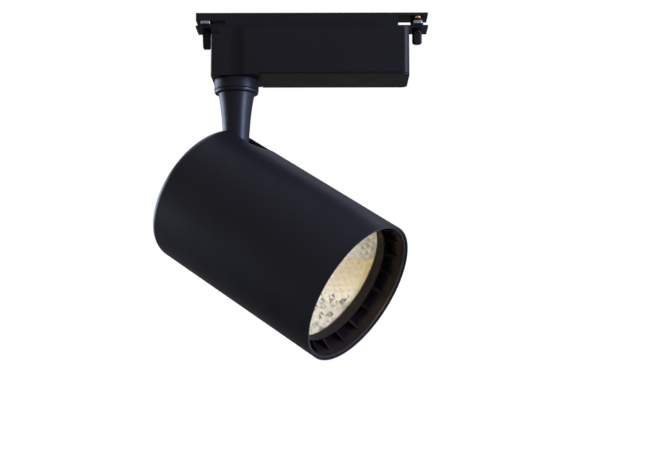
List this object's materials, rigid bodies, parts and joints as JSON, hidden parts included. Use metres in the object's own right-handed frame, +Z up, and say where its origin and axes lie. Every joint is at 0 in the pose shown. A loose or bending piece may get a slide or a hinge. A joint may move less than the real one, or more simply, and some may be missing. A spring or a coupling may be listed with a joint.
{
  "type": "track spotlight",
  "caption": "Black cylindrical LED track spotlight: driver box with turn-lock track adapter, swivelling tapered stem, and tilting cup head with recessed faceted reflector.",
  "frame": {"origin": "on the pan axis, in the flat top face of the track adapter", "axes": "+X along the track from the neck towards the box's far end, +Z up out of the track, -Y towards the side that the picture shows"},
  "size_m": [0.1878, 0.1467, 0.2404],
  "materials": {
    "black_plastic": "satin black moulded",
    "bezel_plastic": "fine matt black moulded",
    "black_paint": "satin black powder coat",
    "steel": "zinc plated",
    "copper": "bare copper alloy",
    "board": "green solder mask",
    "pale_plastic": "natural moulded",
    "capacitor_sleeve": "shrink sleeve",
    "transformer_tape": "yellow tape",
    "lead_sleeve": "black sleeve",
    "glass": "clear flat",
    "silicone": "soft matt",
    "reflector": "faceted aluminised",
    "aluminium": "die-cast",
    "ceramic": "white ceramic",
    "phosphor": "yellow phosphor gel"
  },
  "bodies": {
    "adapter": {"adapter_insert": "black_plastic", "insert_screw_1": "steel", "insert_screw_2": "steel", "insert_screw_3": "steel", "insert_screw_4": "steel", "earth_contact": "copper", "housing_shell": "black_plastic", "bottom_cover": "black_plastic", "driver_pcb": "board", "terminal_block": "pale_plastic", "emi_choke": "copper", "input_capacitor": "capacitor_sleeve", "transformer": "transformer_tape", "output_capacitor": "capacitor_sleeve", "driver_lead": "lead_sleeve", "swivel_collar": "black_paint", "stop_pin": "steel"},
    "lock": {"lock_lever": "black_plastic", "lock_cam": "steel"},
    "contact": {"contact_lever": "black_plastic", "contact_cam": "steel", "line_contact": "copper", "neutral_contact": "copper"},
    "stem": {"stem": "black_paint", "swivel_bolt": "steel", "stop_washer": "steel", "wave_washer": "steel", "swivel_nut": "steel", "pan_washer": "pale_plastic", "stem_lead": "lead_sleeve"},
    "head": {"head_shell": "black_paint", "front_bezel": "bezel_plastic", "lens": "glass", "lens_gasket": "silicone", "reflector": "reflector", "retaining_ring": "steel", "cob_holder": "pale_plastic", "holder_screw_1": "steel", "holder_screw_2": "steel", "cob_emitter": "phosphor", "cob_board": "ceramic", "thermal_pad": "silicone", "heat_sink": "aluminium", "heatsink_screw_1": "steel", "heatsink_screw_2": "steel", "heatsink_screw_3": "steel", "tilt_bracket": "steel", "bracket_screw_1": "steel", "bracket_screw_2": "steel", "tilt_washer_1": "pale_plastic", "tilt_washer_2": "pale_plastic", "tilt_bolt": "steel", "tilt_nut": "steel", "head_lead": "lead_sleeve"}
  },
  "joints": [
    {"name": "pan", "type": "hinge", "parent": "adapter", "child": "stem", "pos_m": [0, 0, -0.05325], "axis": [0, 0, 1], "range_deg": [-165, 165]},
    {"name": "tilt", "type": "hinge", "parent": "stem", "child": "head", "pos_m": [0, 0, -0.1145], "axis": [0.4633, 0.8862, 0], "range_deg": [-31.66, 58.34]},
    {"name": "lock_turn", "type": "hinge", "parent": "adapter", "child": "lock", "pos_m": [-0.021, 0, -0.0125], "axis": [0, 0, 1], "range_deg": [0, 90]},
    {"name": "contact_turn", "type": "hinge", "parent": "adapter", "child": "contact", "pos_m": [0.1258, 0, -0.0125], "axis": [0, 0, 1], "range_deg": [0, 90]}
  ]
}
